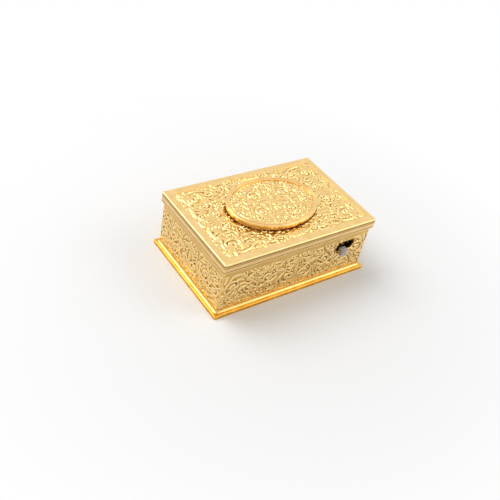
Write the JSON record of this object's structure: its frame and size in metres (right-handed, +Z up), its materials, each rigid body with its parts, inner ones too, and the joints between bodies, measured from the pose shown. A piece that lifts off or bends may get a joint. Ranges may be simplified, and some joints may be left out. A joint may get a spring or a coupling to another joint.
{
  "type": "singing bird music box",
  "caption": "Gilt singing bird box: a rectangular case with chased scrollwork, a hinged oval lid, a start lever, and a small bird that rises, turns and sings by bellows and whistle.",
  "frame": {"origin": "centre of the case's footprint at the bottom of the base, on the table", "axes": "+X along the long side, -Y towards the front with the start lever, +Z up"},
  "size_m": [0.1024, 0.0675, 0.0395],
  "materials": {
    "gilt": "polished gilt, chased",
    "brass": "satin",
    "steel": "satin",
    "wood": "oiled",
    "leather": "soft kid",
    "feather": "feathered",
    "wing_feather": "feathered",
    "beak": "horn"
  },
  "bodies": {
    "case": {"base_plate": "gilt", "base_screws": "steel", "front_wall": "gilt", "back_wall": "gilt", "left_wall": "gilt", "right_wall": "gilt", "top_cover": "gilt", "oval_bezel": "gilt", "lid_hinge_pin": "gilt", "bird_grille": "gilt", "grille_screws": "steel", "slider_guide": "brass", "lower_plate": "brass", "upper_plate": "brass", "pillars": "brass", "pillar_nuts": "steel", "click_screw": "steel", "lever_stud": "steel", "stop_screw": "steel", "bellows_base": "wood", "bellows_leather": "leather", "whistle_body": "brass", "wind_pipe": "brass", "bird_frame": "brass", "carriage_pin": "steel"},
    "lid": {"oval_lid": "gilt"},
    "slider": {"start_slider": "steel"},
    "barrel_unit": {"barrel": "brass", "barrel_cover": "brass", "mainspring": "steel"},
    "arbor": {"winding_arbor": "steel", "ratchet_wheel": "steel"},
    "click_unit": {"click": "steel"},
    "cams": {"cam_arbor": "steel", "cam_wheel": "brass", "beak_cam": "brass", "turn_cam": "brass", "pitch_cam": "brass", "valve_cam": "brass"},
    "third": {"third_arbor": "steel", "third_wheel": "brass"},
    "fan": {"fan_rotor": "brass"},
    "stop": {"stop_lever": "steel"},
    "beak_follower": {"beak_lever": "steel"},
    "turn_follower": {"turn_lever": "steel"},
    "pitch_follower": {"pitch_lever": "steel"},
    "valve_follower": {"valve_lever": "steel"},
    "board": {"bellows_board": "wood"},
    "rod": {"bellows_rod": "steel"},
    "piston": {"whistle_piston": "steel"},
    "carriage": {"bird_carriage": "brass"},
    "bird": {"bird_body": "feather"},
    "beak": {"beak_lower": "beak"},
    "left_wing": {"wing_left": "wing_feather"},
    "right_wing": {"wing_right": "wing_feather"},
    "tail": {"bird_tail": "wing_feather"}
  },
  "joints": [
    {"name": "lid_hinge", "type": "hinge", "parent": "case", "child": "lid", "pos_m": [0, 0.02215, 0.03825], "axis": [-1, 0, 0], "range_deg": [0, 82]},
    {"name": "bird_rise", "type": "hinge", "parent": "case", "child": "carriage", "pos_m": [-0.009, 0, 0.027], "axis": [0, -1, 0], "range_deg": [0, 90]},
    {"name": "bird_turn", "type": "hinge", "parent": "carriage", "child": "bird", "pos_m": [-0.009, 0, 0.027], "axis": [1, 0, 0], "range_deg": [-25, 25]},
    {"name": "beak_hinge", "type": "hinge", "parent": "bird", "child": "beak", "pos_m": [0.00869, 0, 0.02233], "axis": [0, 1, 0], "range_deg": [0, 18]},
    {"name": "wing_left_hinge", "type": "hinge", "parent": "bird", "child": "left_wing", "pos_m": [0.0069, 0.0031, 0.02752], "axis": [0.5, 0, -0.866], "range_deg": [0, 30]},
    {"name": "wing_right_hinge", "type": "hinge", "parent": "bird", "child": "right_wing", "pos_m": [0.0069, -0.0031, 0.02752], "axis": [-0.5, 0, 0.866], "range_deg": [0, 30]},
    {"name": "tail_hinge", "type": "hinge", "parent": "bird", "child": "tail", "pos_m": [0.002, 0, 0.0322], "axis": [0, 1, 0], "range_deg": [-5, 5]},
    {"name": "start_slide", "type": "slide", "parent": "case", "child": "slider", "axis": [1, 0, 0], "range_m": [0, 0.0055]},
    {"name": "stop_hinge", "type": "hinge", "parent": "case", "child": "stop", "pos_m": [0.022, -0.012, 0.018], "axis": [0, 0, 1], "range_deg": [0, 27]},
    {"name": "barrel_spin", "type": "hinge", "parent": "case", "child": "barrel_unit", "pos_m": [-0.027, -0.011, 0.01], "axis": [0, 0, 1], "continuous": true},
    {"name": "cam_spin", "type": "hinge", "parent": "case", "child": "cams", "pos_m": [-0.02414, 0.00525, 0.01], "axis": [0, 0, 1], "continuous": true},
    {"name": "third_spin", "type": "hinge", "parent": "case", "child": "third", "pos_m": [-0.00936, 0.00785, 0.01], "axis": [0, 0, 1], "continuous": true},
    {"name": "fan_spin", "type": "hinge", "parent": "case", "child": "fan", "pos_m": [-0.00101, -0.00211, 0.01], "axis": [0, 0, 1], "continuous": true},
    {"name": "winding_spin", "type": "hinge", "parent": "case", "child": "arbor", "pos_m": [-0.027, -0.011, 0.01], "axis": [0, 0, 1], "continuous": true},
    {"name": "click_hinge", "type": "hinge", "parent": "case", "child": "click_unit", "pos_m": [-0.03663, -0.0116, 0.019], "axis": [0, 0, -1], "range_deg": [0, 8]},
    {"name": "beak_lever_hinge", "type": "hinge", "parent": "case", "child": "beak_follower", "pos_m": [-0.0142, -0.0035, 0.02], "axis": [0, 0, -1], "range_deg": [0, 4.5]},
    {"name": "turn_lever_hinge", "type": "hinge", "parent": "case", "child": "turn_follower", "pos_m": [-0.0142, -0.0035, 0.02], "axis": [0, 0, -1], "range_deg": [0, 4.5]},
    {"name": "pitch_lever_hinge", "type": "hinge", "parent": "case", "child": "pitch_follower", "pos_m": [-0.0142, -0.0035, 0.02], "axis": [0, 0, -1], "range_deg": [0, 4.5]},
    {"name": "valve_lever_hinge", "type": "hinge", "parent": "case", "child": "valve_follower", "pos_m": [-0.0142, -0.0035, 0.024], "axis": [0, 0, -1], "range_deg": [0, 1.4]},
    {"name": "piston_slide", "type": "slide", "parent": "case", "child": "piston", "axis": [-1, 0, 0], "range_m": [0, 0.00123]},
    {"name": "bellows_hinge", "type": "hinge", "parent": "case", "child": "board", "pos_m": [0.0415, -0.015, 0.01], "axis": [0, 0, -1], "range_deg": [0, 3], "deforming": ["bellows_leather"]},
    {"name": "rod_hinge", "type": "hinge", "parent": "board", "child": "rod", "pos_m": [0.02979, 0.02013, 0.011], "axis": [0, 0, -1], "range_deg": [-3, 0]}
  ],
  "couplings": [
    {"joint": "bird_rise", "follows": "lid_hinge", "ratio": 1.0976},
    {"joint": "wing_right_hinge", "follows": "wing_left_hinge", "ratio": 1},
    {"joint": "stop_hinge", "follows": "start_slide", "rad_per_m": 85.68},
    {"joint": "cam_spin", "follows": "barrel_spin", "ratio": -4.5},
    {"joint": "third_spin", "follows": "barrel_spin", "ratio": 18},
    {"joint": "fan_spin", "follows": "barrel_spin", "ratio": -60},
    {"joint": "pitch_lever_hinge", "follows": "piston_slide", "rad_per_m": 64.114},
    {"joint": "rod_hinge", "follows": "bellows_hinge", "ratio": -1}
  ]
}
